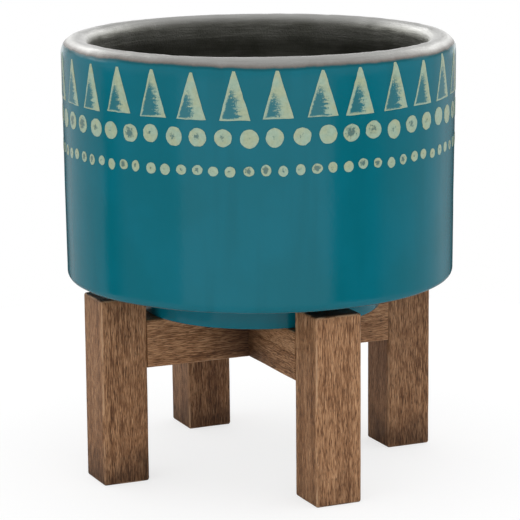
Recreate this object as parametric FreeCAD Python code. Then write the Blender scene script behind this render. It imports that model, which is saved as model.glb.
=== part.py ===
import FreeCAD, Part
import os
from math import sin, tan

from FreeCAD import Vector

# A round ceramic pot that stands by its stepped foot on a wooden cross stand.
# Millimetres, +Z up. The origin is on the floor, on the pot's axis.
# The rails run along X and Y, with one leg at each of their four ends.

# Stand
stock = 25.0                # the legs and rails are all of one square stock
leg_height = 97.5
leg_spread = 163.5          # centre to centre of two opposite legs
rail_top = 85.0
leg_arris = 1.5             # rounding of the legs' edges
rail_arris = 0.8            # rounding of the rails' long edges
lap_play = 0.05             # room on each side of the cross-halving joint

# Dowels, two in each leg
dowel_diameter = 6.0
dowel_length = 30.0
dowel_spacing = 12.0
dowel_bevel = 0.6
glue_film = 0.05
glue_pocket = 0.5           # empty end of each dowel hole

# Screw that holds the crossing together from below
screw_head_diameter = 8.0
screw_shank_diameter = 4.0
screw_length = 20.0
screw_tip = 4.0
screw_drive_width = 1.1
screw_drive_span = 4.6
screw_drive_depth = 1.6

# Pot
rim_diameter = 203.6
wall_draft = 1.0            # the wall's radius shrinks by this much towards the bottom
overall_height = 227.0
underside_height = 101.5
wall = 9.5
floor_thickness = 8.0
corner_round = 4.0
inside_corner_round = 9.0

# Rim of the pot, a rolled lip that is thicker than the wall
lip = 14.5
lip_depth = 14.0            # height of the thick part
lip_taper = 8.0             # height over which it thins to the wall
lip_cove = 4.0
rim_round_outside = 7.8
rim_round_inside = 6.5

# Foot of the pot
foot_diameter = 126.0       # stands between the legs with 6 mm of room all round
foot_round = 1.5
foot_cove = 3.0
foot_ring_width = 9.0
foot_recess = 2.0

os.makedirs("parts", exist_ok=True)

up = Vector(0, 0, 1)
leg_radius = leg_spread / 2
rail_length = leg_spread - stock
rail_bottom = rail_top - stock
lap_height = (rail_top + rail_bottom) / 2


def rounded_profile(corners):
    """Closed face in the XZ plane. Each corner is (radius from axis, height, rounding)."""
    points = [Vector(r, 0, z) for r, z, rounding in corners]
    runs = []
    for index, (r, z, rounding) in enumerate(corners):
        here = points[index]
        back = (points[index - 1] - here).normalize()
        ahead = (points[(index + 1) % len(points)] - here).normalize()
        if not rounding:
            runs.append((here, None, here))
            continue
        half_angle = back.getAngle(ahead) / 2
        setback = rounding / tan(half_angle)
        middle = (back + ahead).normalize() * (rounding / sin(half_angle) - rounding)
        runs.append((here + back * setback, here + middle, here + ahead * setback))
    edges = []
    for index, (start, middle, end) in enumerate(runs):
        edges.append(Part.LineSegment(runs[index - 1][2], start).toShape())
        if middle:
            edges.append(Part.Arc(start, middle, end).toShape())
    return Part.Face(Part.Wire(edges))


def turned(corners):
    """Solid of revolution about the pot's axis."""
    return rounded_profile(corners).revolve(Vector(), up, 360)


def placed(shape, turn):
    """Copy of a piece made for the +X arm, turned to another arm of the cross."""
    copy = shape.copy()
    copy.rotate(Vector(), up, turn)
    return copy


def eased(shape, radius, wanted):
    """Rounds the straight edges that the test picks by their direction."""
    edges = [edge for edge in shape.Edges if wanted(edge.tangentAt(edge.FirstParameter))]
    return shape.makeFillet(radius, edges)


# Dowels and the holes that they are glued into

dowel_heights = [lap_height - dowel_spacing / 2, lap_height + dowel_spacing / 2]
joint_radius = leg_radius - stock / 2


def dowel_at(height):
    """Bevelled wooden pin that lies along X, half in the leg and half in the rail."""
    start = Vector(joint_radius - dowel_length / 2, 0, height)
    pin = Part.makeCylinder(dowel_diameter / 2, dowel_length, start, Vector(1, 0, 0))
    rims = [edge for edge in pin.Edges if edge.isClosed()]
    return pin.makeChamfer(dowel_bevel, rims)


def dowel_hole_at(height):
    """Round pocket for both halves of a dowel."""
    length = dowel_length + 2 * glue_pocket
    start = Vector(joint_radius - length / 2, 0, height)
    return Part.makeCylinder(dowel_diameter / 2 + glue_film, length, start, Vector(1, 0, 0))


dowel_holes = [dowel_hole_at(height) for height in dowel_heights]

# Legs

leg_corner = Vector(leg_radius - stock / 2, -stock / 2, 0)
leg_block = Part.makeBox(stock, stock, leg_height, leg_corner)
leg = eased(leg_block, leg_arris, lambda direction: True).cut(dowel_holes)

# Screw, head down, in a countersunk hole on the axis

head_radius = screw_head_diameter / 2
shank_radius = screw_shank_diameter / 2
countersink = head_radius - shank_radius
screw_bottom = rail_bottom
screw_end = screw_bottom + screw_length


def screw_shape(growth):
    """Countersunk screw as a turned solid, widened by a clearance for its hole."""
    return turned([
        (0, screw_bottom, 0),
        (head_radius + growth, screw_bottom, 0),
        (shank_radius + growth, screw_bottom + countersink, 0),
        (shank_radius + growth, screw_end - screw_tip, 0),
        (0, screw_end + growth, 0),
    ])


def drive_slot():
    """One arm of the cross recess in the screw's head."""
    corner = Vector(-screw_drive_span / 2, -screw_drive_width / 2, screw_bottom)
    return Part.makeBox(screw_drive_span, screw_drive_width, screw_drive_depth, corner)


screw_hole = screw_shape(glue_film)
lap_screw = screw_shape(0).cut([drive_slot(), placed(drive_slot(), 90)])

# Rails, halved into each other where they cross

rail_block = Part.makeBox(
    rail_length, stock, stock, Vector(-rail_length / 2, -stock / 2, rail_bottom))
rail = eased(rail_block, rail_arris, lambda direction: abs(direction.x) > 0.5)
rail = rail.cut(dowel_holes + [placed(hole, 180) for hole in dowel_holes])

lap_width = stock + 2 * lap_play
lap_corner = Vector(-lap_width / 2, -stock, lap_height)
lap_notch = Part.makeBox(lap_width, 2 * stock, stock, lap_corner)
upper_notch = lap_notch.translated(Vector(0, 0, -stock))

lower_rail = rail.cut([lap_notch, screw_hole])
upper_rail = placed(rail.cut(upper_notch), 90).cut(screw_hole)

# Pot, one wall turned round the axis

rim_radius = rim_diameter / 2
bottom_radius = rim_radius - wall_draft
foot_radius = foot_diameter / 2
inside_floor = rail_top + floor_thickness
shelf_height = underside_height + floor_thickness
ring_inside = foot_radius - foot_ring_width
lip_bottom = overall_height - lip_depth

pot = turned([
    (0, rail_top + foot_recess, 0),
    (ring_inside, rail_top + foot_recess, foot_recess / 2),
    (ring_inside, rail_top, foot_recess / 4),
    (foot_radius, rail_top, foot_round),
    (foot_radius, underside_height, foot_cove),
    (bottom_radius, underside_height, corner_round),
    (rim_radius, overall_height, rim_round_outside),
    (rim_radius - lip, overall_height, rim_round_inside),
    (rim_radius - lip, lip_bottom, lip_cove),
    (rim_radius - wall, lip_bottom - lip_taper, lip_cove),
    (bottom_radius - wall, shelf_height, inside_corner_round),
    (foot_radius - wall, shelf_height, foot_cove),
    (foot_radius - wall, inside_floor, foot_cove),
    (0, inside_floor, 0),
])

# Every piece in its own file, named for the arm of the cross that it is on

pieces = {"pot": pot, "lower_rail": lower_rail, "upper_rail": upper_rail, "lap_screw": lap_screw}
arm_turns = {"right": 0, "back": 90, "left": 180, "front": 270}
for arm, turn in arm_turns.items():
    pieces[arm + "_leg"] = placed(leg, turn)
    for place, height in zip(["low", "high"], dowel_heights):
        pieces[f"{arm}_dowel_{place}"] = placed(dowel_at(height), turn)

for name, shape in pieces.items():
    solid = shape.Solids[0]
    solid.exportStep(f"parts/{name}.step")
    print(f"{name:18s} valid {solid.isValid()}  volume {solid.Volume / 1000:8.2f} cm3")
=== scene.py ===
# %% [markdown]
# # A glazed planter on a wooden cross stand
# The real object is a round ceramic pot with a teal glaze and a pale printed border, which stands
# by its foot on a cross of two halved rails with four square legs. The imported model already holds
# every piece at its real size, so this lesson only gives the pieces their looks. Everything is in
# metres, with the floor at zero height and the pot's axis on the Z axis.

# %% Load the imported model
import random
from math import cos, hypot, pi, radians, sin

import bmesh
import bpy
from mathutils import Matrix, Vector


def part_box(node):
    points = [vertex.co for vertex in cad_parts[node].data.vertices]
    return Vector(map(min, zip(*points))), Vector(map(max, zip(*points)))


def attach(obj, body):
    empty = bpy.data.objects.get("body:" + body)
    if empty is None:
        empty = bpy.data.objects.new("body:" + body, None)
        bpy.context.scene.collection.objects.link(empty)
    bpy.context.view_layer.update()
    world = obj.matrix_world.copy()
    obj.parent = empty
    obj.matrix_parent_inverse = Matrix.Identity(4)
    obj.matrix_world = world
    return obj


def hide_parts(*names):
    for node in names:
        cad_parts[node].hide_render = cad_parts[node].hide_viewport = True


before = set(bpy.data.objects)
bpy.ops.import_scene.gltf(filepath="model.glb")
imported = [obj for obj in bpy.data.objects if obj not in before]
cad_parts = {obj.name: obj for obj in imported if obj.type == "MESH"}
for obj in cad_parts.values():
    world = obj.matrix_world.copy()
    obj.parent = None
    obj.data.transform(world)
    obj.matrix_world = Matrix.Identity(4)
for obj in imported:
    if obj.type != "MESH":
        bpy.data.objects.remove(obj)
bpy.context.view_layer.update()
print("nodes:", sorted(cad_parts))

# %% [markdown]
# ## Camera
# The photograph was taken with a long lens, a little above the rim. The camera could be aimed with a
# constraint, but its place is easier to read as a distance, a height and three turns: round the
# object, down, and a trace of roll.

# %% Place the camera
camera_distance = 1.3291
camera_height = 0.3863
camera_turn = radians(-24.24)
camera_pitch = radians(11.83)
camera_roll = radians(-0.46)
lens_length_mm = 179.1

bpy.ops.object.select_all(action="DESELECT")
bpy.ops.object.camera_add()
camera = bpy.context.active_object
camera_place = Vector((sin(camera_turn), -cos(camera_turn), 0)) * camera_distance
camera_place.z = camera_height
camera.matrix_world = (
    Matrix.Translation(camera_place)
    @ Matrix.Rotation(camera_turn, 4, "Z")
    @ Matrix.Rotation(pi / 2 - camera_pitch, 4, "X")
    @ Matrix.Rotation(camera_roll, 4, "Z")
)
camera.data.lens = lens_length_mm
bpy.context.scene.camera = camera
bpy.context.scene.view_settings.view_transform = "Standard"
print("camera at", tuple(round(value, 3) for value in camera_place))

# %% [markdown]
# ## Node helpers
# A material is a small graph. In the editor its nodes are added from a menu and wired by hand. Here
# one helper adds a node and wires its inputs, and a few more cover arithmetic, mixing and soft steps,
# so that each finish below reads as a recipe.


# %% Add and wire shader nodes
def plug(tree, socket, value):
    """Sets a socket to a constant, or links another node's output to it."""
    if isinstance(value, bpy.types.NodeSocket):
        tree.links.new(value, socket)
    else:
        socket.default_value = value


def shader_node(tree, kind, settings=None, **inputs):
    """Adds a node. An input is a number, a colour or another node's output."""
    node = tree.nodes.new(kind)
    for name, value in (settings or {}).items():
        setattr(node, name, value)
    for name, value in inputs.items():
        plug(tree, node.inputs[name], value)
    return node


def maths(tree, operation, *values):
    """One step of arithmetic on numbers."""
    node = tree.nodes.new("ShaderNodeMath")
    node.operation = operation
    for socket, value in zip(node.inputs, values):
        plug(tree, socket, value)
    return node.outputs[0]


def between(tree, share, at_none, at_all):
    """Goes evenly from one number, where the share is 0, to another, where it is 1."""
    return maths(tree, "MULTIPLY_ADD", share, at_all - at_none, at_none)


def blended(tree, factor, first, second, blend="MIX"):
    """Mixes two colours."""
    node = tree.nodes.new("ShaderNodeMix")
    node.data_type = "RGBA"
    node.blend_type = blend
    factor_socket, first_socket, second_socket = (node.inputs[index] for index in (0, 6, 7))
    plug(tree, factor_socket, factor)
    plug(tree, first_socket, first)
    plug(tree, second_socket, second)
    return node.outputs[2]


def step_between(tree, value, low, high):
    """Rises smoothly from 0 at low to 1 at high. With low above high it falls."""
    node = tree.nodes.new("ShaderNodeMapRange")
    node.interpolation_type = "SMOOTHSTEP"
    for name, number in (("Value", value), ("From Min", low), ("From Max", high)):
        plug(tree, node.inputs[name], number)
    return node.outputs["Result"]


# %% [markdown]
# ## Light
# The photograph was lit in a white studio: two softboxes behind the pot, one on each side, a pale wall
# between them, soft light from above, and a darker table, with a dim room that shows as a faint band in
# the glaze. Lamps could copy that, but a world that changes with direction is softer. Diffuse rays see an
# even dome, mirrored rays see the studio, and the camera sees plain white. The studio is four layers: the
# things below the horizon, the walls at the horizon, the softboxes above it, and the ceiling.

# %% Light the studio
dome_strength = 1.0
room_glow = 0.43
window_glow = 0.48
side_glow = 0.15
corner_glow = 0.27
flag_glow = 0.01
table_glow = 0.04
left_softbox_glow = 2.8
right_softbox_glow = 2.0
horizon_glow = 0.5
back_glow = 1.15
high_back_glow = 0.55
front_glow = 0.3
ceiling_glow = 0.52

world = bpy.data.worlds.new("studio")
bpy.context.scene.world = world
world.use_nodes = True
sky = world.node_tree
sky.nodes.clear()

direction = shader_node(sky, "ShaderNodeTexCoord").outputs["Generated"]
to_camera = Vector((sin(camera_turn), -cos(camera_turn), 0))
to_right = Vector((cos(camera_turn), sin(camera_turn), 0))


def share_along(tree, vector, axis):
    """How far a vector reaches along an axis."""
    node = shader_node(tree, "ShaderNodeVectorMath", {"operation": "DOT_PRODUCT"})
    plug(tree, node.inputs[0], vector)
    plug(tree, node.inputs[1], axis)
    return node.outputs["Value"]


towards_camera = share_along(sky, direction, to_camera)
azimuth = maths(sky, "ARCTAN2", share_along(sky, direction, to_right), towards_camera)
turn_from_camera = maths(sky, "MULTIPLY_ADD", azimuth, 0.5 / pi, 0.5)


# %% Mirrored studio and plain dome
def ramp(tree, factor, stops):
    """Colour ramp. Each stop is (place from 0 to 1, colour)."""
    node = shader_node(tree, "ShaderNodeValToRGB", Fac=factor)
    elements = node.color_ramp.elements
    while len(elements) < len(stops):
        elements.new(0.5)
    for element, (place, colour) in zip(elements, stops):
        element.position = place
        element.color = (*colour, 1)
    return node.outputs["Color"]


def glow_round(stops, brightest=1.0):
    """Brightness by direction. Each stop is (degrees to the right of the camera, brightness)."""
    colour_stops = [(angle / 360 + 0.5, (glow / brightest,) * 3) for angle, glow in stops]
    share = ramp(sky, turn_from_camera, colour_stops)
    return blended(sky, share, (0, 0, 0, 1), (brightest,) * 3 + (1,))


low_round = glow_round([
    (-180, table_glow), (-163, table_glow), (-149, window_glow), (-104, corner_glow), (-100, flag_glow),
    (-93, flag_glow), (-84, side_glow), (-48, side_glow), (-45, room_glow), (40, room_glow),
    (46, flag_glow), (70, flag_glow), (80, side_glow), (104, corner_glow), (138, window_glow),
    (163, table_glow), (180, table_glow),
])
horizon_round = glow_round([
    (-180, back_glow), (-160, back_glow), (-148, horizon_glow), (-98, front_glow),
    (98, front_glow), (146, horizon_glow), (158, back_glow), (180, back_glow),
], back_glow)
high_round = glow_round([
    (-180, high_back_glow), (-170, high_back_glow), (-160, left_softbox_glow), (-110, left_softbox_glow),
    (-98, front_glow), (98, front_glow), (110, right_softbox_glow), (158, right_softbox_glow),
    (168, high_back_glow), (180, high_back_glow),
], left_softbox_glow)
height = shader_node(sky, "ShaderNodeSeparateXYZ", Vector=direction).outputs["Z"]
above_table = blended(sky, step_between(sky, height, -0.17, -0.06), low_round, horizon_round)
above_horizon = blended(sky, step_between(sky, height, 0.16, 0.32), above_table, high_round)
ceiling = blended(sky, step_between(sky, towards_camera, -0.2, 0.6), (ceiling_glow,) * 3 + (1,),
                  (front_glow,) * 3 + (1,))
mirrored = blended(sky, step_between(sky, height, 0.4, 0.7), above_horizon, ceiling)

rays = shader_node(sky, "ShaderNodeLightPath")
dome = shader_node(sky, "ShaderNodeBackground", Color=(1, 1, 1, 1), Strength=dome_strength)
studio = shader_node(sky, "ShaderNodeBackground", Color=mirrored, Strength=1.0)
white = shader_node(sky, "ShaderNodeBackground", Color=(1, 1, 1, 1), Strength=1.0)
lit = shader_node(sky, "ShaderNodeMixShader", Fac=rays.outputs["Is Glossy Ray"])
seen = shader_node(sky, "ShaderNodeMixShader", Fac=rays.outputs["Is Camera Ray"])
for mixer, first, second in ((lit, dome, studio), (seen, lit, white)):
    sky.links.new(first.outputs[0], mixer.inputs[1])
    sky.links.new(second.outputs[0], mixer.inputs[2])
shader_node(sky, "ShaderNodeOutputWorld", Surface=seen.outputs[0])
print("studio light with", len(sky.nodes), "nodes")

# %% [markdown]
# ## Floor
# The object stands on a pale floor that has no edge in the picture. A large plane would mirror in
# the glaze, so the floor is a disc just wide enough for the shadow. It throws light back as a white floor
# does, is darker in mirrored rays, and glows for the camera, which makes it as white as the background
# and keeps a faint shadow.

# %% Lay the floor
floor_radius = 0.4
floor_sides = 96
floor_albedo = 0.95
mirrored_albedo = 0.35
floor_glow = 0.7


def new_material(name):
    """A material with a principled shader and nothing else set."""
    material = bpy.data.materials.new(name)
    material.use_nodes = True
    return material, material.node_tree, material.node_tree.nodes["Principled BSDF"]


bpy.ops.object.select_all(action="DESELECT")
bpy.ops.mesh.primitive_circle_add(vertices=floor_sides, radius=floor_radius, fill_type="NGON")
floor = bpy.context.active_object
floor.name = "floor"
pale, pale_tree, pale_shader = new_material("pale_floor")
rays = shader_node(pale_tree, "ShaderNodeLightPath").outputs
shade = blended(pale_tree, rays["Is Diffuse Ray"], (mirrored_albedo,) * 3 + (1,),
                (floor_albedo,) * 3 + (1,))
glow = blended(pale_tree, rays["Is Camera Ray"], (0, 0, 0, 1), (floor_glow,) * 3 + (1,))
pale_tree.links.new(shade, pale_shader.inputs["Base Color"])
pale_tree.links.new(glow, pale_shader.inputs["Emission Color"])
pale_shader.inputs["Emission Strength"].default_value = 1.0
pale_shader.inputs["Roughness"].default_value = 1.0
pale_shader.inputs["Specular IOR Level"].default_value = 0.0
floor.data.materials.append(pale)
print("floor disc", 2 * floor_radius, "m across")

# %% [markdown]
# ## Pot: the outline
# A pot is turned on a wheel, so its whole shape is one outline and an axis. A lathe of stacked
# cylinders would need cutting and joining. Drawing the section once, as a potter's rib would, and
# spinning it gives the foot, the step, the wall, the rim and the inside in one closed skin.


# %% Draw the section, corner by corner
def select_only(piece):
    """Selects this piece and nothing else."""
    bpy.ops.object.select_all(action="DESELECT")
    piece.select_set(True)
    bpy.context.view_layer.objects.active = piece


def start_editing(piece):
    """Enters edit mode with nothing but this piece selected."""
    select_only(piece)
    bpy.ops.object.mode_set(mode="EDIT")


def drawn_outline(name, corners):
    """An open outline in the XZ plane, drawn by extruding one vertex from corner to corner."""
    bpy.ops.object.select_all(action="DESELECT")
    bpy.ops.mesh.primitive_plane_add(size=0.001)
    piece = bpy.context.active_object
    piece.name = piece.data.name = name
    bpy.ops.object.mode_set(mode="EDIT")
    bpy.ops.mesh.select_mode(type="VERT")
    bpy.ops.mesh.select_all(action="SELECT")
    bpy.ops.mesh.merge(type="CENTER")
    bpy.ops.transform.translate(value=(corners[0][0], 0, corners[0][1]))
    for here, ahead in zip(corners, corners[1:]):
        step = (ahead[0] - here[0], 0, ahead[1] - here[1])
        bpy.ops.mesh.extrude_vertices_move(TRANSFORM_OT_translate={"value": step})
    bpy.ops.object.mode_set(mode="OBJECT")
    return piece


pot_low, pot_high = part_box("pot")
rim_radius = pot_high.x
rim_height = pot_high.z
foot_height = pot_low.z
wall = 0.0095
wall_draft = 0.001
lip = 0.0145
lip_depth = 0.014
lip_taper = 0.008
rim_round_outside = 0.0078
rim_round_inside = 0.0065
floor_thickness = 0.008
underside_height = 0.1015
foot_radius = 0.063
foot_ring_width = 0.009
foot_recess = 0.002

recess_round = 0.001
ring_edge_round = 0.0005
foot_edge_round = 0.0015
step_round = 0.003
heel_round = 0.004
lip_round = 0.003
shelf_round = 0.009
well_round = 0.003

bottom_radius = rim_radius - wall_draft
ring_inside = foot_radius - foot_ring_width
shelf_height = underside_height + floor_thickness
well_floor = foot_height + floor_thickness
well_radius = foot_radius - wall
lip_bottom = rim_height - lip_depth

# Each corner is (radius, height, rounding), from the middle of the underside to the middle of the inside
pot_corners = [
    (0, foot_height + foot_recess, 0),
    (ring_inside, foot_height + foot_recess, recess_round),
    (ring_inside, foot_height, ring_edge_round),
    (foot_radius, foot_height, foot_edge_round),
    (foot_radius, underside_height, step_round),
    (bottom_radius, underside_height, heel_round),
    (rim_radius, rim_height, rim_round_outside),
    (rim_radius - lip, rim_height, rim_round_inside),
    (rim_radius - lip, lip_bottom, lip_round),
    (rim_radius - wall, lip_bottom - lip_taper, lip_round),
    (bottom_radius - wall, shelf_height, shelf_round),
    (well_radius, shelf_height, well_round),
    (well_radius, well_floor, well_round),
    (0, well_floor, 0),
]
pot = drawn_outline("glazed_pot", pot_corners)
print("section with", len(pot.data.vertices), "corners")


# %% Round the corners and divide the long runs
def pick(piece, kind, test):
    """In edit mode, selects only the vertices, edges or faces that pass the test, and counts them."""
    bpy.ops.mesh.select_mode(type=kind)
    bpy.ops.mesh.select_all(action="DESELECT")
    mesh = bmesh.from_edit_mesh(piece.data)
    elements = {"VERT": mesh.verts, "EDGE": mesh.edges, "FACE": mesh.faces}[kind]
    chosen = [element for element in elements if test(element)]
    for element in chosen:
        element.select_set(True)
    mesh.select_flush_mode()
    bmesh.update_edit_mesh(piece.data)
    return len(chosen)


run_length = 0.0026
arc_length = 0.0011
fewest_arc_steps = 3
most_cuts = 60
same_place = 1e-6

start_editing(pot)
for radius, height_here, rounding in pot_corners:
    if rounding:
        corner = Vector((radius, 0, height_here))
        pick(pot, "VERT", lambda vertex: (vertex.co - corner).length < same_place)
        arc_steps = fewest_arc_steps + round(rounding / arc_length)
        bpy.ops.mesh.bevel(affect="VERTICES", offset=rounding, segments=arc_steps, profile=0.5)
for cuts in range(most_cuts, 0, -1):
    if pick(pot, "EDGE", lambda edge: edge.calc_length() > run_length * (cuts + 0.5)):
        bpy.ops.mesh.subdivide(number_cuts=cuts)
bpy.ops.object.mode_set(mode="OBJECT")
print("rounded section with", len(pot.data.vertices), "points")

# %% Spin the section round the axis
turn_steps = 240


def spin_outline(piece, steps):
    """Spins an outline once round the Z axis and closes the seam and the poles."""
    start_editing(piece)
    bpy.ops.mesh.select_all(action="SELECT")
    bpy.ops.mesh.spin(steps=steps, angle=2 * pi, center=(0, 0, 0), axis=(0, 0, 1))
    bpy.ops.mesh.select_all(action="SELECT")
    bpy.ops.mesh.remove_doubles(threshold=same_place)
    bpy.ops.mesh.normals_make_consistent(inside=False)
    bpy.ops.object.mode_set(mode="OBJECT")


def enclosed_litres(piece):
    """Litres inside a mesh, negative if its faces point inwards, and the number of open edges."""
    mesh = bmesh.new()
    mesh.from_mesh(piece.data)
    open_edges = sum(not edge.is_manifold for edge in mesh.edges)
    volume = mesh.calc_volume(signed=True)
    mesh.free()
    return round(volume * 1000, 4), open_edges


spin_outline(pot, turn_steps)
print("pot: litres of clay and open edges", enclosed_litres(pot), "faces", len(pot.data.polygons))

# %% [markdown]
# ## Pot: the maker's hand
# A cast or thrown pot is never a perfect cylinder: its wall wavers by a fraction of a millimetre, and
# the bare rim and the inside are rougher. Sculpting would do, but three Displace modifiers, two of them
# limited to a vertex group, give the same result on every run.


# %% Mark the rim and the inside
def is_inside(place):
    """True for a point on the pot's inner skin."""
    radius = hypot(place.x, place.y)
    parting_height = (underside_height + shelf_height) / 2
    if radius < foot_radius - wall / 2:
        parting_height = (foot_height + foot_recess + well_floor) / 2
    return radius < rim_radius - rim_round_outside and place.z > parting_height


inside_points = [vertex.index for vertex in pot.data.vertices if is_inside(vertex.co)]
rim_bottom = rim_height - rim_round_outside
rim_points = [vertex.index for vertex in pot.data.vertices if vertex.co.z > rim_bottom]
for group_name, points in (("inside", inside_points), ("rim", rim_points)):
    pot.vertex_groups.new(name=group_name).add(points, 1.0, "REPLACE")
inside_mask = pot.data.attributes.new("inner_skin", "FLOAT", "POINT")
for index in inside_points:
    inside_mask.data[index].value = 1.0
print(len(inside_points), "points inside,", len(rim_points), "on the rim")


# %% Waver the surfaces
def wavered(piece, name, size, depth, group=""):
    """Moves the surface in and out by soft noise of the given size, up to half the depth each way."""
    noise = bpy.data.textures.new(name, "CLOUDS")
    noise.noise_scale = size
    modifier = piece.modifiers.new(name, "DISPLACE")
    modifier.texture = noise
    modifier.texture_coords = "LOCAL"
    modifier.strength = depth
    modifier.vertex_group = group
    bpy.context.view_layer.objects.active = piece
    bpy.ops.object.modifier_apply(modifier=name)


wavered(pot, "thrown_wall", size=0.05, depth=0.0005)
wavered(pot, "trimmed_rim", size=0.012, depth=0.0004, group="rim")
wavered(pot, "rough_inside", size=0.009, depth=0.0006, group="inside")
select_only(pot)
bpy.ops.object.shade_smooth()
print("pot after wavering:", enclosed_litres(pot))

# %% [markdown]
# ## Pot: glaze and pewter coat
# Two finishes meet on one skin. The teal glaze is glossy and a little uneven. The pot was dipped by
# hand, so the glaze stops in a wavy line under the rim, a little higher on one side, where it runs thin
# and dull, darkened by painted shade, beside a brown edge. The rim and the inside have a dull metallic
# grey coat, brushed round by hand, darker inside the pot, partly a darker coat and partly painted shade.
# One material holds both, with masks that read the height and the inner
# skin's attribute, because the borders between them are soft and wander.


# %% Teal glaze
def soft_noise(tree, coordinates, scale, detail=2.0, roughness=0.5):
    """Noise from 0 to 1, with the given number of features per metre."""
    node = shader_node(tree, "ShaderNodeTexNoise", Vector=coordinates, Scale=scale, Detail=detail,
                       Roughness=roughness)
    return node.outputs["Fac"]


def stretched(tree, coordinates, stretch):
    """Coordinates scaled differently along X, Y and Z."""
    return shader_node(tree, "ShaderNodeMapping", Vector=coordinates, Scale=stretch).outputs["Vector"]


def object_place(tree):
    """The point on the piece, in metres."""
    return shader_node(tree, "ShaderNodeTexCoord").outputs["Object"]


def glaze_colour(tree, place):
    """Teal that pools darker and greener in soft patches, with faint upright streaks."""
    pooled = soft_noise(tree, place, 28, detail=3)
    streaks = soft_noise(tree, stretched(tree, place, (90, 90, 9)), 1.0, detail=3)
    deep_teal = (0.0007, 0.136, 0.18, 1)
    pale_teal = (0.0012, 0.147, 0.2, 1)
    streak_teal = (0.0005, 0.13, 0.173, 1)
    base = blended(tree, step_between(tree, pooled, 0.35, 0.65), deep_teal, pale_teal)
    return blended(tree, step_between(tree, streaks, 0.45, 0.75), base, streak_teal)


def glaze_relief(tree, place):
    """Faint orange peel of a fired glaze."""
    return soft_noise(tree, place, 420, detail=3, roughness=0.6)


# %% Pewter coat
def brush_strokes(tree, place):
    """Level strokes of a brush that went round the pot."""
    return soft_noise(tree, stretched(tree, place, (60, 60, 800)), 1.0, detail=4, roughness=0.6)


def coat_colour(tree, place, depth):
    """Pewter grey, streaked by the brush, paler on the rim; darker inside, partly a darker coat and
    partly painted shade deeper in the pot, and clouded there.
    """
    strokes = brush_strokes(tree, place)
    on_rim = blended(tree, strokes, (0.44, 0.435, 0.41, 1), (0.68, 0.68, 0.66, 1))
    in_pot = blended(tree, strokes, (0.135, 0.135, 0.117, 1), (0.39, 0.39, 0.352, 1))
    clouds = step_between(tree, soft_noise(tree, place, 50, detail=4, roughness=0.6), 0.35, 0.7)
    clouded = blended(tree, maths(tree, "MULTIPLY", clouds, 0.7), in_pot, (0.13, 0.13, 0.108, 1))
    # Inside, the colour blends to the darker one by depth, which is partly painted shade.
    return blended(tree, depth, on_rim, clouded)


# %% Find the glaze line and the borders beside it
glaze_line = 0.2226
line_wander = 0.003
line_rise = 0.001
rise_from_x = -0.045
rise_to_x = -0.075
glaze_fade = 0.0006
brown_edge_low = -0.0002
brown_edge_high = 0.0034
dull_shaded_band_low = -0.002
dull_shaded_band_high = -0.0004
rim_tone_depth = 0.0002
inside_tone_depth = 0.005

pot_finish, tree, shader = new_material("teal_glaze_and_pewter_coat")
place = object_place(tree)
axes = shader_node(tree, "ShaderNodeSeparateXYZ", Vector=place)
height_on_pot = axes.outputs["Z"]
inner = shader_node(tree, "ShaderNodeAttribute", {"attribute_name": "inner_skin"}).outputs["Fac"]
# Below the top inside the pot the coat turns rougher and darker; the darkening is partly painted shade.
below_top_coat_and_painted_shade = step_between(tree, height_on_pot, rim_height - rim_tone_depth, rim_height - inside_tone_depth)
depth = maths(tree, "MULTIPLY", inner, below_top_coat_and_painted_shade)
high_side = step_between(tree, axes.outputs["X"], rise_from_x, rise_to_x)
askew = maths(tree, "MULTIPLY_ADD", high_side, -line_rise, -line_wander / 2)
waves = soft_noise(tree, place, 45, detail=6, roughness=0.7)
wander = maths(tree, "MULTIPLY_ADD", waves, line_wander, askew)
above_line = maths(tree, "SUBTRACT", maths(tree, "ADD", height_on_pot, wander), glaze_line)
bare_of_glaze = step_between(tree, above_line, -glaze_fade, glaze_fade)
past_glaze = maths(tree, "MAXIMUM", bare_of_glaze, inner)
coated = step_between(tree, above_line, brown_edge_low, brown_edge_high)
past_brown_edge = maths(tree, "MAXIMUM", coated, inner)
# A band just under the glaze line gets painted shade, a darker teal, and a duller gloss.
dull_glaze_with_painted_shade = maths(tree, "MULTIPLY", step_between(tree, above_line, dull_shaded_band_low, dull_shaded_band_high), 0.5)
print("glaze ends", round((rim_height - glaze_line) * 1000, 1), "mm below the top")

# %% Put both finishes on the pot
glaze_roughness = 0.1
rim_roughness = 0.28
inside_roughness = 0.46
coat_metal = 0.9
glaze_gloss = 0.5
gloss_lost = 0.8
painted_shade_teal = (0.012, 0.06, 0.065, 1)
brown_edge = (0.15, 0.13, 0.115, 1)

# Painted shade: the glaze turns to the darker teal in that band under the rim.
glaze = blended(tree, dull_glaze_with_painted_shade, glaze_colour(tree, place), painted_shade_teal)
coat = blended(tree, past_brown_edge, brown_edge, coat_colour(tree, place, depth))
tree.links.new(blended(tree, past_glaze, glaze, coat), shader.inputs["Base Color"])
coat_roughness = between(tree, depth, rim_roughness, inside_roughness)
rougher = maths(tree, "SUBTRACT", coat_roughness, glaze_roughness)
roughness = maths(tree, "MULTIPLY_ADD", past_glaze, rougher, glaze_roughness)
tree.links.new(roughness, shader.inputs["Roughness"])
tree.links.new(maths(tree, "MULTIPLY", past_brown_edge, coat_metal), shader.inputs["Metallic"])
gloss = maths(tree, "MULTIPLY_ADD", dull_glaze_with_painted_shade, -gloss_lost, glaze_gloss)
tree.links.new(gloss, shader.inputs["Specular IOR Level"])

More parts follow.
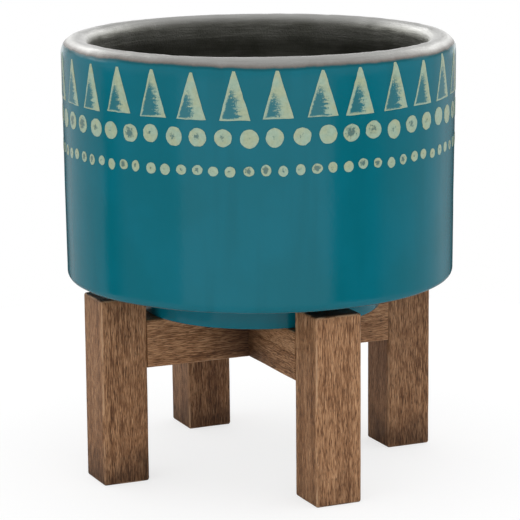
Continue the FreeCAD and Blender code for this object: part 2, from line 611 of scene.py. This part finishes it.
# %% Relief of the two finishes
grit = soft_noise(tree, place, 1100, detail=2)
coat_relief = blended(tree, 0.5, grit, brush_strokes(tree, place))
glaze_bump = shader_node(tree, "ShaderNodeBump", Height=glaze_relief(tree, place), Strength=0.12,
                         Distance=0.0005)
coat_bump = shader_node(tree, "ShaderNodeBump", Height=coat_relief, Strength=past_glaze, Distance=0.0004,
                        Normal=glaze_bump.outputs[0])
tree.links.new(coat_bump.outputs[0], shader.inputs["Normal"])
pot.data.materials.append(pot_finish)
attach(pot, "pot")
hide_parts("pot")
print("pot finish with", len(tree.nodes), "nodes")

# %% [markdown]
# ## Border: one triangle
# The border is a row of narrow triangles over two rows of dots, printed by hand in pale slip. Painting
# them in the material would blur them, so each mark is a thin piece that hugs the wall. A triangle
# starts as the lower edge of a plane, is extruded upwards row by row while it narrows, and closes in
# a blunt tip. Enough rows and columns let it bend with the wall.

# %% Shape a flat triangle in front of the wall
triangle_width = 0.0156
triangle_low = 0.1978
triangle_high = 0.2212
triangle_columns = 6
triangle_rows = 9
tip_width = 0.0014
mark_clearance = 0.001
mark_start = -(rim_radius + mark_clearance)


def new_mark(name):
    """Names the new primitive and opens it for editing."""
    mark = bpy.context.active_object
    mark.name = mark.data.name = name
    bpy.ops.object.transform_apply(location=True, rotation=True, scale=True)
    bpy.ops.object.mode_set(mode="EDIT")
    return mark


bpy.ops.object.select_all(action="DESELECT")
bpy.ops.mesh.primitive_plane_add(size=triangle_width, rotation=(pi / 2, 0, 0),
                                 location=(0, mark_start, triangle_low + triangle_width / 2))
triangle = new_mark("triangle")
pick(triangle, "VERT", lambda vertex: vertex.co.z > triangle_low + triangle_width / 2)
bpy.ops.mesh.delete(type="VERT")
bpy.ops.mesh.select_all(action="SELECT")
bpy.ops.mesh.subdivide(number_cuts=triangle_columns - 1)
row_height = (triangle_high - triangle_low) / triangle_rows
width_here = triangle_width
for row in range(triangle_rows):
    below_edge = triangle_low + (row - 0.5) * row_height
    pick(triangle, "EDGE", lambda edge: min(vertex.co.z for vertex in edge.verts) > below_edge)
    bpy.ops.mesh.extrude_region_move(TRANSFORM_OT_translate={"value": (0, 0, row_height)})
    width_next = triangle_width + (tip_width - triangle_width) * (row + 1) / triangle_rows
    bpy.ops.transform.resize(value=(width_next / width_here, 1, 1), center_override=(0, mark_start, 0))
    width_here = width_next
bpy.ops.mesh.select_all(action="SELECT")
bpy.ops.mesh.normals_make_consistent(inside=False)
bpy.ops.object.mode_set(mode="OBJECT")
print("triangle with", len(triangle.data.polygons), "faces")

# %% [markdown]
# ## Border: one dot
# A dot is a filled circle. Two insets give it rings, so that it can bend with the wall.


# %% Shape a flat dot
ring_share = 0.16


def flat_dot(name, diameter, height_here, sides):
    """A disc with two inner rings, in front of the wall."""
    bpy.ops.object.select_all(action="DESELECT")
    bpy.ops.mesh.primitive_circle_add(vertices=sides, radius=diameter / 2, fill_type="NGON",
                                      rotation=(pi / 2, 0, 0), location=(0, mark_start, height_here))
    dot = new_mark(name)
    bpy.ops.mesh.select_all(action="SELECT")
    for ring in range(2):
        bpy.ops.mesh.inset(thickness=diameter * ring_share)
    bpy.ops.mesh.select_all(action="SELECT")
    bpy.ops.mesh.normals_make_consistent(inside=False)
    bpy.ops.object.mode_set(mode="OBJECT")
    return dot


large_dot = flat_dot("large_dot", diameter=0.009, height_here=0.1892, sides=20)
small_dot = flat_dot("small_dot", diameter=0.0052, height_here=0.1728, sides=14)
print("dots with", len(large_dot.data.polygons), "and", len(small_dot.data.polygons), "faces")

# %% [markdown]
# ## Border: copies round the pot
# No two printed marks are alike. Each copy gets its own mesh, is stretched and tilted a little, turned
# to its place round the axis, and keeps two things for its material: where a point lies on the mark,
# as a UV map, and how worn the mark is. The joined row is shrunk onto the wavering wall and given
# a thickness that starts inside the glaze.


# %% Copy, turn, join and wrap a row of marks
def mark_positions(mark):
    """UV map with the place across and up the mark, each from 0 to 1. Returns the mark's middle."""
    places = [vertex.co for vertex in mark.data.vertices]
    low = Vector([min(place[axis] for place in places) for axis in range(3)])
    high = Vector([max(place[axis] for place in places) for axis in range(3)])
    uv_map = mark.data.uv_layers.new(name="mark")
    for loop in mark.data.loops:
        place = places[loop.vertex_index] - low
        uv_map.data[loop.index].uv = (place.x / (high - low).x, place.z / (high - low).z)
    return (low + high) / 2


row_lean = 0.0008
hand_drift = 0.0003


def printed_row(name, mark, count, first_angle, wobble, seed):
    """A row of copies of one mark, evenly spaced and slightly uneven, that leans up to the right."""
    chance = random.Random(seed)
    middle = mark_positions(mark)
    copies = []
    for index in range(count):
        copy = bpy.data.objects.new(name, mark.data.copy())
        bpy.context.collection.objects.link(copy)
        wider = 1 + chance.uniform(-wobble, wobble)
        taller = 1 + chance.uniform(-wobble, wobble)
        stretch = Matrix.Diagonal((wider, 1, taller, 1))
        tilt = Matrix.Rotation(chance.gauss(0, wobble / 3), 4, "Y")
        angle = first_angle + 2 * pi * index / count
        rise = row_lean * sin(angle - camera_turn) + chance.gauss(0, hand_drift)
        drift = Matrix.Translation((chance.gauss(0, hand_drift), 0, rise))
        turn = Matrix.Rotation(angle, 4, "Z")
        to_middle = Matrix.Translation(middle)
        copy.data.transform(turn @ drift @ to_middle @ tilt @ stretch @ to_middle.inverted())
        wear = copy.data.attributes.new("wear", "FLOAT", "POINT")
        wear_here = chance.random()
        for item in wear.data:
            item.value = wear_here
        copies.append(copy)
    bpy.data.objects.remove(mark)
    bpy.ops.object.select_all(action="DESELECT")
    for copy in copies:
        copy.select_set(True)
    bpy.context.view_layer.objects.active = copies[0]
    bpy.ops.object.join()
    row = bpy.context.active_object
    row.name = row.data.name = name
    return row


def roughened(row, amount, seed):
    """Shifts every point a little, for a hand-printed edge."""
    start_editing(row)
    bpy.ops.mesh.select_all(action="SELECT")
    bpy.ops.transform.vertex_random(offset=amount, seed=seed)
    bpy.ops.object.mode_set(mode="OBJECT")


def wrapped(row, proud, thickness):
    """Lays the row on the pot's wall and thickens it inwards."""
    wrap = row.modifiers.new("wrap", "SHRINKWRAP")
    wrap.target = pot
    wrap.wrap_method = "NEAREST_SURFACEPOINT"
    wrap.wrap_mode = "OUTSIDE_SURFACE"
    wrap.offset = proud
    body = row.modifiers.new("body", "SOLIDIFY")
    body.thickness = thickness
    body.offset = -1
    bpy.context.view_layer.objects.active = row
    bpy.ops.object.modifier_apply(modifier="wrap")
    bpy.ops.object.modifier_apply(modifier="body")
    select_only(row)
    bpy.ops.object.shade_smooth_by_angle(angle=radians(40))


def angle_from_camera(degrees_to_the_right):
    """Turn round the axis of a place that is seen this far to the right of the pot's middle."""
    return camera_turn + radians(degrees_to_the_right)


triangles = printed_row("triangle_marks", triangle, count=30, first_angle=angle_from_camera(5.2),
                        wobble=0.05, seed=3)
large_dots = printed_row("large_dot_marks", large_dot, count=50, first_angle=angle_from_camera(-2.6),
                         wobble=0.06, seed=5)
small_dots = printed_row("small_dot_marks", small_dot, count=76, first_angle=angle_from_camera(1.75),
                         wobble=0.09, seed=8)
for row, amount in ((triangles, 0.00022), (large_dots, 0.0003), (small_dots, 0.00025)):
    roughened(row, amount, seed=1)
    wrapped(row, proud=0.00018, thickness=0.0004)
    print(row.name, "faces", len(row.data.polygons), "litres and open edges", enclosed_litres(row))

# %% [markdown]
# ## Border: worn slip
# The slip is pale sage and was wiped on, so it is thick along the right side of each triangle and at
# its tip, and the teal shows through in a smaller triangle on the left, with level streaks at its border.
# Many dots are worn through in the middle. The mask reads the mark's own UV map and its wear, and uses
# the same teal as the wall, so bare patches vanish into the glaze.


# %% Slip that lets the ground show
def slip_colour(tree, place):
    """Pale sage slip with fine brush grain, in places creamier or more minty."""
    grain = soft_noise(tree, place, 650, detail=3, roughness=0.6)
    hue = step_between(tree, soft_noise(tree, place, 170, detail=2), 0.35, 0.65)
    thin = blended(tree, hue, (0.28, 0.35, 0.23, 1), (0.25, 0.36, 0.27, 1))
    thick = blended(tree, hue, (0.48, 0.54, 0.37, 1), (0.43, 0.55, 0.43, 1))
    return blended(tree, grain, thin, thick)


def slip_material(name, bare_mask, bare_colour):
    """A slip that lets the ground show where the mask says so."""
    material, tree, shader = new_material(name)
    place = object_place(tree)
    mark_uv = shader_node(tree, "ShaderNodeUVMap", {"uv_map": "mark"}).outputs["UV"]
    wear = shader_node(tree, "ShaderNodeAttribute", {"attribute_name": "wear"}).outputs["Fac"]
    bare = bare_mask(tree, place, mark_uv, wear)
    tree.links.new(blended(tree, bare, slip_colour(tree, place), bare_colour(tree, place)),
                   shader.inputs["Base Color"])
    shader.inputs["Roughness"].default_value = glaze_roughness
    bump = shader_node(tree, "ShaderNodeBump", Height=glaze_relief(tree, place), Strength=0.1,
                       Distance=0.0005)
    tree.links.new(bump.outputs[0], shader.inputs["Normal"])
    return material


def streaked_blur(tree, place):
    """Level streaks and fine specks, about 0 in the middle."""
    streak_share = 0.8
    speck_share = 0.6
    streaks = soft_noise(tree, stretched(tree, place, (160, 160, 900)), 1.0, detail=3, roughness=0.6)
    specks = soft_noise(tree, place, 1300, detail=2)
    specked = maths(tree, "MULTIPLY_ADD", specks, speck_share, -(streak_share + speck_share) / 2)
    return maths(tree, "MULTIPLY_ADD", streaks, streak_share, specked)


# %% Where the triangles and the dots are bare
def triangle_bare(tree, place, mark_uv, wear):
    """Bare in a smaller triangle on the lower left, inside a thin outline, with streaked borders."""
    across_up = shader_node(tree, "ShaderNodeSeparateXYZ", Vector=mark_uv)
    across, rise = across_up.outputs["X"], across_up.outputs["Y"]
    blur = streaked_blur(tree, place)
    dice = shader_node(tree, "ShaderNodeTexWhiteNoise", {"noise_dimensions": "1D"}, W=wear)
    outline = between(tree, dice.outputs["Value"], 0.025, 0.095)
    taper = maths(tree, "MULTIPLY", rise, (1 - tip_width / triangle_width) / 2)
    left_gap = maths(tree, "SUBTRACT", across, taper)
    right_gap = maths(tree, "SUBTRACT", maths(tree, "SUBTRACT", 1.0, across), taper)

    brush_at_base = between(tree, wear, 0.48, 0.23)
    brush_width = maths(tree, "MULTIPLY", brush_at_base, between(tree, rise, 1.0, 0.3))
    past_brush = maths(tree, "SUBTRACT", maths(tree, "MULTIPLY_ADD", blur, 0.8, right_gap), brush_width)
    from_right = step_between(tree, past_brush, -0.1, 0.1)
    past_top = maths(tree, "SUBTRACT", maths(tree, "ADD", rise, blur), between(tree, wear, 0.5, 0.75))
    from_top = step_between(tree, past_top, 0.12, -0.12)
    wiped = maths(tree, "MULTIPLY", from_right, from_top)

    inside_left = maths(tree, "SUBTRACT", maths(tree, "MULTIPLY_ADD", blur, 0.12, left_gap), outline)
    from_left = step_between(tree, inside_left, -0.02, 0.04)
    blurred_rise = maths(tree, "MULTIPLY_ADD", blur, 0.06, rise)
    inside_base = maths(tree, "MULTIPLY_ADD", outline, -0.4, blurred_rise)
    from_base = step_between(tree, inside_base, -0.01, 0.025)
    edges = maths(tree, "MULTIPLY", from_left, from_base)
    return maths(tree, "MULTIPLY", maths(tree, "MULTIPLY", edges, wiped), 0.92)


def dot_bare(tree, place, mark_uv, wear):
    """A ragged worn spot left of the middle of the more worn dots."""
    spot = shader_node(tree, "ShaderNodeVectorMath", {"operation": "DISTANCE"})
    tree.links.new(mark_uv, spot.inputs[0])
    spot.inputs[1].default_value = (0.44, 0.53, 0)
    mottle = soft_noise(tree, place, 900, detail=2)
    ragged = maths(tree, "MULTIPLY_ADD", mottle, 0.7, -0.35)
    size = between(tree, wear, -0.04, 0.3)
    edge = maths(tree, "SUBTRACT", maths(tree, "ADD", spot.outputs["Value"], ragged), size)
    return maths(tree, "MULTIPLY", step_between(tree, edge, 0.08, -0.1), 0.82)


def dirty_glaze(tree, place):
    """Glaze with grey dirt in it."""
    dirt = soft_noise(tree, place, 700, detail=2)
    return blended(tree, dirt, glaze_colour(tree, place), (0.12, 0.13, 0.095, 1))


# %% Put the slip on the marks
triangle_slip = slip_material("worn_slip_triangles", triangle_bare, glaze_colour)
dot_slip = slip_material("worn_slip_dots", dot_bare, dirty_glaze)
for row, material in ((triangles, triangle_slip), (large_dots, dot_slip), (small_dots, dot_slip)):
    row.data.materials.append(material)
    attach(row, "pot")
    print(material.name, "on", len(row.data.polygons), "faces of", row.name)

# %% [markdown]
# ## Stand: legs and rails
# The legs and rails are one square wooden stock. A plain box has edges that no joiner leaves, so each
# piece is a cube of the stock's size whose edges are bevelled, then divided along its length and
# wavered by a tenth of a millimetre, as sanded wood is.

# %% Square stock with eased edges
leg_arris = 0.0013
rail_arris = 0.0008
stock_piece = 0.004
arms = {
    "right": Vector((1, 0, 0)),
    "back": Vector((0, 1, 0)),
    "left": Vector((-1, 0, 0)),
    "front": Vector((0, -1, 0)),
}


def eased_stock(name, node, arris, bevelled):
    """A block that fills a node's box, with rounded edges, divided into short pieces and wavered."""
    low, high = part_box(node)
    bpy.ops.object.select_all(action="DESELECT")
    bpy.ops.mesh.primitive_cube_add(size=1, location=(low + high) / 2, scale=high - low)
    stock = bpy.context.active_object
    stock.name = stock.data.name = name
    bpy.ops.object.transform_apply(location=True, rotation=True, scale=True)
    bpy.ops.object.mode_set(mode="EDIT")
    pick(stock, "EDGE", bevelled)
    bpy.ops.mesh.bevel(offset=arris, segments=4, profile=0.5)
    for axis in range(3):
        normal = Vector([index == axis for index in range(3)])
        pieces = round((high - low)[axis] / stock_piece)
        for index in range(1, pieces):
            bpy.ops.mesh.select_all(action="SELECT")
            bpy.ops.mesh.bisect(plane_co=low.lerp(high, index / pieces), plane_no=normal)
    bpy.ops.object.mode_set(mode="OBJECT")
    wavered(stock, "sanded_" + name, size=0.02, depth=0.0003)
    return stock


def runs_along(axis):
    """Test for edges that run along an axis."""
    return lambda edge: abs((edge.verts[1].co - edge.verts[0].co).normalized()[axis]) > 0.5


legs = {
    arm: eased_stock("wooden_" + arm + "_leg", arm + "_leg", leg_arris, lambda edge: True)
    for arm in arms
}
rails = {
    "lower_rail": eased_stock("wooden_lower_rail", "lower_rail", rail_arris, runs_along(0)),
    "upper_rail": eased_stock("wooden_upper_rail", "upper_rail", rail_arris, runs_along(1)),
}
print("faces", {name: len(piece.data.polygons) for name, piece in {**legs, **rails}.items()})

# %% [markdown]
# ## Stand: joints
# In the shop the rails are halved into each other, a screw goes up through the crossing, and two glued
# dowels hold each leg. A chisel and a drill take wood away, so Boolean modifiers do too: one round
# cutter per dowel bores the leg and the rail in one go, and a block cuts the halving.


# %% Bore and cut the joints
def cut_away(cutter, *pieces):
    """Takes the cutter's shape out of the pieces, then deletes the cutter."""
    for piece in pieces:
        cut = piece.modifiers.new("cut", "BOOLEAN")
        cut.operation = "DIFFERENCE"
        cut.solver = "EXACT"
        cut.object = cutter
        bpy.context.view_layer.objects.active = piece
        bpy.ops.object.modifier_apply(modifier="cut")
    bpy.data.objects.remove(cutter)


glue_film = 0.00005
glue_pocket = 0.0005
lap_play = 0.0001
bore_sides = 32
for arm, outwards in arms.items():
    rail = rails["lower_rail" if outwards.x else "upper_rail"]
    for level in ("low", "high"):
        low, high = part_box(f"{arm}_dowel_{level}")
        length = max(high - low)
        bpy.ops.object.select_all(action="DESELECT")
        bpy.ops.mesh.primitive_cylinder_add(vertices=bore_sides, radius=(high.z - low.z) / 2 + glue_film,
                                            depth=length + 2 * glue_pocket, location=(low + high) / 2,
                                            rotation=outwards.to_track_quat("Z", "Y").to_euler())
        cut_away(bpy.context.active_object, legs[arm], rail)

rail_low, rail_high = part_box("lower_rail")
stock_size = rail_high.z - rail_low.z
lap_width = stock_size + lap_play
for rail, rise in ((rails["lower_rail"], 1), (rails["upper_rail"], -1)):
    sideways = Vector((1, 2, 1)) if rise > 0 else Vector((2, 1, 1))
    bpy.ops.object.select_all(action="DESELECT")
    bpy.ops.mesh.primitive_cube_add(size=1, scale=sideways * lap_width,
                                    location=(0, 0, (rail_low.z + rail_high.z + rise * lap_width) / 2))
    cut_away(bpy.context.active_object, rail)
print("rails after cutting", {name: enclosed_litres(rail) for name, rail in rails.items()})

# %% Bore the countersunk screw hole
screw_low, screw_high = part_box("lap_screw")
head_radius = screw_high.x + glue_film
shank_radius = head_radius / 2
screw_hole = drawn_outline("screw_hole", [
    (0, screw_low.z - glue_pocket),
    (head_radius, screw_low.z - glue_pocket),
    (head_radius, screw_low.z),
    (shank_radius, screw_low.z + head_radius - shank_radius),
    (shank_radius, screw_high.z),
    (0, screw_high.z),
])
spin_outline(screw_hole, bore_sides)
cut_away(screw_hole, *rails.values())
print("rails after boring", {name: enclosed_litres(rail) for name, rail in rails.items()})


# %% Mark the worn edges
def mark_arrises(piece, node, arris, axes):
    """Stores how close each point is to a bevelled edge, from 0 on the faces to 1 at the edge."""
    low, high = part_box(node)
    closeness = piece.data.attributes.new("arris", "FLOAT", "POINT")
    for vertex in piece.data.vertices:
        depths = sorted(min(vertex.co[axis] - low[axis], high[axis] - vertex.co[axis]) for axis in axes)
        closeness.data[vertex.index].value = max(0.0, 1 - depths[1] / arris)


for arm, leg in legs.items():
    mark_arrises(leg, arm + "_leg", leg_arris, (0, 1, 2))
mark_arrises(rails["lower_rail"], "lower_rail", rail_arris, (1, 2))
mark_arrises(rails["upper_rail"], "upper_rail", rail_arris, (0, 2))
for piece in (*legs.values(), *rails.values()):
    select_only(piece)
    bpy.ops.object.shade_smooth_by_angle(angle=radians(35))
print("worn edges marked on", len(legs) + len(rails), "pieces")

# %% [markdown]
# ## Stand: stained wood
# The stand is a fine-grained hardwood with a brown stain. A scanned texture would repeat, so the grain is
# solid noise stretched along each piece: thin straight fibres, broad streaks and short dark pores. The
# leg ends are darker and the stain is rubbed off along the edges. Painted shade darkens the shaded legs
# all over, the leg tops under the pot, a thin line at the floor, and the rails round the crossing under
# the pot.


# %% Grain, pores, soaked ends and rubbed edges
def grain_tone(tree, grain):
    """Light and dark of the wood, about 0.5 in the middle."""
    fibres = soft_noise(tree, stretched(tree, grain, (1, 1, 0.045)), 3700, detail=2, roughness=0.6)
    streaks = soft_noise(tree, stretched(tree, grain, (1, 1, 0.02)), 240, detail=2)
    mottle = soft_noise(tree, stretched(tree, grain, (1, 1, 0.2)), 60, detail=2)
    layers = ((fibres, 2.6), (streaks, 0.8), (mottle, 0.5))
    tone = 0.5 - sum(weight for noise, weight in layers) / 2
    for noise, weight in layers:
        tone = maths(tree, "MULTIPLY_ADD", noise, weight, tone)
    return tone


def wood_material(name, turn, shift, stain_and_painted_shade):
    """Stained wood. The turn lays its grain along the piece, and the mask says where the wood is darker,
    by stain or by painted shade.
    """
    material, tree, shader = new_material(name)
    place = object_place(tree)
    along = shader_node(tree, "ShaderNodeMapping", Vector=place, Rotation=turn, Location=shift)
    grain = along.outputs["Vector"]
    tone = grain_tone(tree, grain)
    stain = ramp(tree, tone, [
        (0.15, (0.12, 0.045, 0.015)),
        (0.5, (0.34, 0.16, 0.067)),
        (0.85, (0.55, 0.31, 0.16)),
    ])
    pores = soft_noise(tree, stretched(tree, grain, (1, 1, 0.1)), 3300, detail=1)
    open_pores = maths(tree, "MULTIPLY", step_between(tree, pores, 0.56, 0.66), 0.7)
    pored = blended(tree, open_pores, stain, (0.06, 0.024, 0.009, 1))
    # Darker stain and painted shade, by the mask, multiply the wood towards this dark brown.
    stained_and_shaded = blended(tree, stain_and_painted_shade(tree, place), pored, (0.2, 0.17, 0.15, 1), "MULTIPLY")
    arris = shader_node(tree, "ShaderNodeAttribute", {"attribute_name": "arris"}).outputs["Fac"]
    rub_noise = soft_noise(tree, stretched(tree, grain, (1, 1, 0.3)), 160, detail=3)
    patches = maths(tree, "MULTIPLY", step_between(tree, rub_noise, 0.38, 0.6), 0.75)
    rubbed = maths(tree, "MULTIPLY", step_between(tree, arris, 0.1, 0.8), patches)
    tree.links.new(blended(tree, rubbed, stained_and_shaded, (0.54, 0.34, 0.2, 1)), shader.inputs["Base Color"])
    shader.inputs["Roughness"].default_value = 0.5
    shader.inputs["Specular IOR Level"].default_value = 0.35
    bump = shader_node(tree, "ShaderNodeBump", Height=maths(tree, "SUBTRACT", tone, pores), Strength=0.3,
                       Distance=0.0003)
    tree.links.new(bump.outputs[0], shader.inputs["Normal"])
    return material


def stain_and_painted_shade_on_leg(painted_shade_all_over, amount):
    """Darkening of a leg: painted shade all over it, more towards its bottom with a ragged border, dark
    end grain with painted shade under the pot at its top, and dark end grain with a painted contact
    shadow at its bottom.
    """
    def mask(tree, place):
        border = soft_noise(tree, stretched(tree, place, (1, 1, 0.3)), 150, detail=3)
        ragged = maths(tree, "MULTIPLY_ADD", border, 0.03, -0.015)
        rise = shader_node(tree, "ShaderNodeSeparateXYZ", Vector=place).outputs["Z"]
        low_down = step_between(tree, maths(tree, "ADD", rise, ragged), 0.024, 0.001)
        foot = between(tree, low_down, painted_shade_all_over, amount)
        # Painted shade under the pot on the top end grain, which is also darker.
        top_end_grain_and_painted_shade = step_between(tree, rise, leg_top - 0.0009, leg_top - 0.0002)
        # A thin painted contact shadow where the dark bottom end grain meets the floor.
        bottom_end_grain_and_painted_contact_shadow = step_between(tree, rise, 0.0012, 0.0003)
        return maths(tree, "MAXIMUM", foot, maths(tree, "MAXIMUM", top_end_grain_and_painted_shade, bottom_end_grain_and_painted_contact_shadow))
    return mask


def painted_shade_round_crossing(tree, place):
    """Painted shade round the crossing of the rails, under the pot."""
    flat = stretched(tree, place, (1, 1, 0))
    reach = shader_node(tree, "ShaderNodeVectorMath", {"operation": "LENGTH"}, Vector=flat)
    near = step_between(tree, reach.outputs["Value"], 0.05, 0.012)
    return maths(tree, "MULTIPLY", near, 0.9)


# %% Put the wood on the stand
leg_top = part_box("front_leg")[1].z
# For each leg: painted shade all over it, and the darkening towards its bottom.
stain_and_painted_shade_amounts = {"right": (0.17, 0.75), "back": (0.25, 0.7), "left": (0.1, 0.74), "front": (0.0, 0.25)}
leg_shift = Vector((0.31, 0.17, 0))
for index, (arm, leg) in enumerate(legs.items()):
    stain_and_painted_shade = stain_and_painted_shade_on_leg(*stain_and_painted_shade_amounts[arm])
    leg.data.materials.append(wood_material(arm + "_leg_wood", (0, 0, 0), leg_shift * index, stain_and_painted_shade))
    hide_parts(arm + "_leg")

along_x = (0, pi / 2, 0)
along_y = (pi / 2, 0, 0)
rail_grain = {"lower_rail": (along_x, (0.6, 0.5, 0)), "upper_rail": (along_y, (0.9, 0.7, 0))}
for node, rail in rails.items():
    turn, shift = rail_grain[node]
    # The rails get painted shade round the crossing, under the pot.
    rail.data.materials.append(wood_material(node + "_wood", turn, shift, painted_shade_round_crossing))
    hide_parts(node)
for piece in (*legs.values(), *rails.values()):
    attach(piece, "stand")
print("stained", len(legs) + len(rails), "pieces")

# %% [markdown]
# ## Stand: dowels and screw
# The dowels and the screw are hidden in the wood, and the imported shapes are already right, so they stay
# and only get a finish: pale beech with its grain along the pin, and zinc plate, clouded in tone and
# roughness.


# %% Beech and zinc
def beech_material(name, turn):
    """Pale beech with small flecks along the grain."""
    material, tree, shader = new_material(name)
    along = shader_node(tree, "ShaderNodeMapping", Vector=object_place(tree), Rotation=turn)
    fibres = soft_noise(tree, stretched(tree, along.outputs["Vector"], (1, 1, 0.1)), 1600, detail=3)
    flecked = blended(tree, fibres, (0.42, 0.27, 0.15, 1), (0.66, 0.48, 0.3, 1))
    tree.links.new(flecked, shader.inputs["Base Color"])
    shader.inputs["Roughness"].default_value = 0.7
    bump = shader_node(tree, "ShaderNodeBump", Height=fibres, Strength=0.3, Distance=0.0002)
    tree.links.new(bump.outputs[0], shader.inputs["Normal"])
    return material


def zinc_material():
    """Zinc-plated steel, slightly yellowed and clouded."""
    material, tree, shader = new_material("zinc_plate")
    place = object_place(tree)
    cloud = soft_noise(tree, place, 700, detail=3)
    plated = blended(tree, cloud, (0.5, 0.48, 0.42, 1), (0.68, 0.67, 0.62, 1))
    tree.links.new(plated, shader.inputs["Base Color"])
    tree.links.new(maths(tree, "MULTIPLY_ADD", cloud, 0.25, 0.2), shader.inputs["Roughness"])
    shader.inputs["Metallic"].default_value = 1.0
    return material


def dress(node, material):
    """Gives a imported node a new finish."""
    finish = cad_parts[node].data.materials
    finish.clear()
    finish.append(material)


beech_along_x = beech_material("beech_along_x", along_x)
beech_along_y = beech_material("beech_along_y", along_y)
for arm, outwards in arms.items():
    for level in ("low", "high"):
        dress(f"{arm}_dowel_{level}", beech_along_x if outwards.x else beech_along_y)
dress("lap_screw", zinc_material())
print("dressed the dowels and the screw")
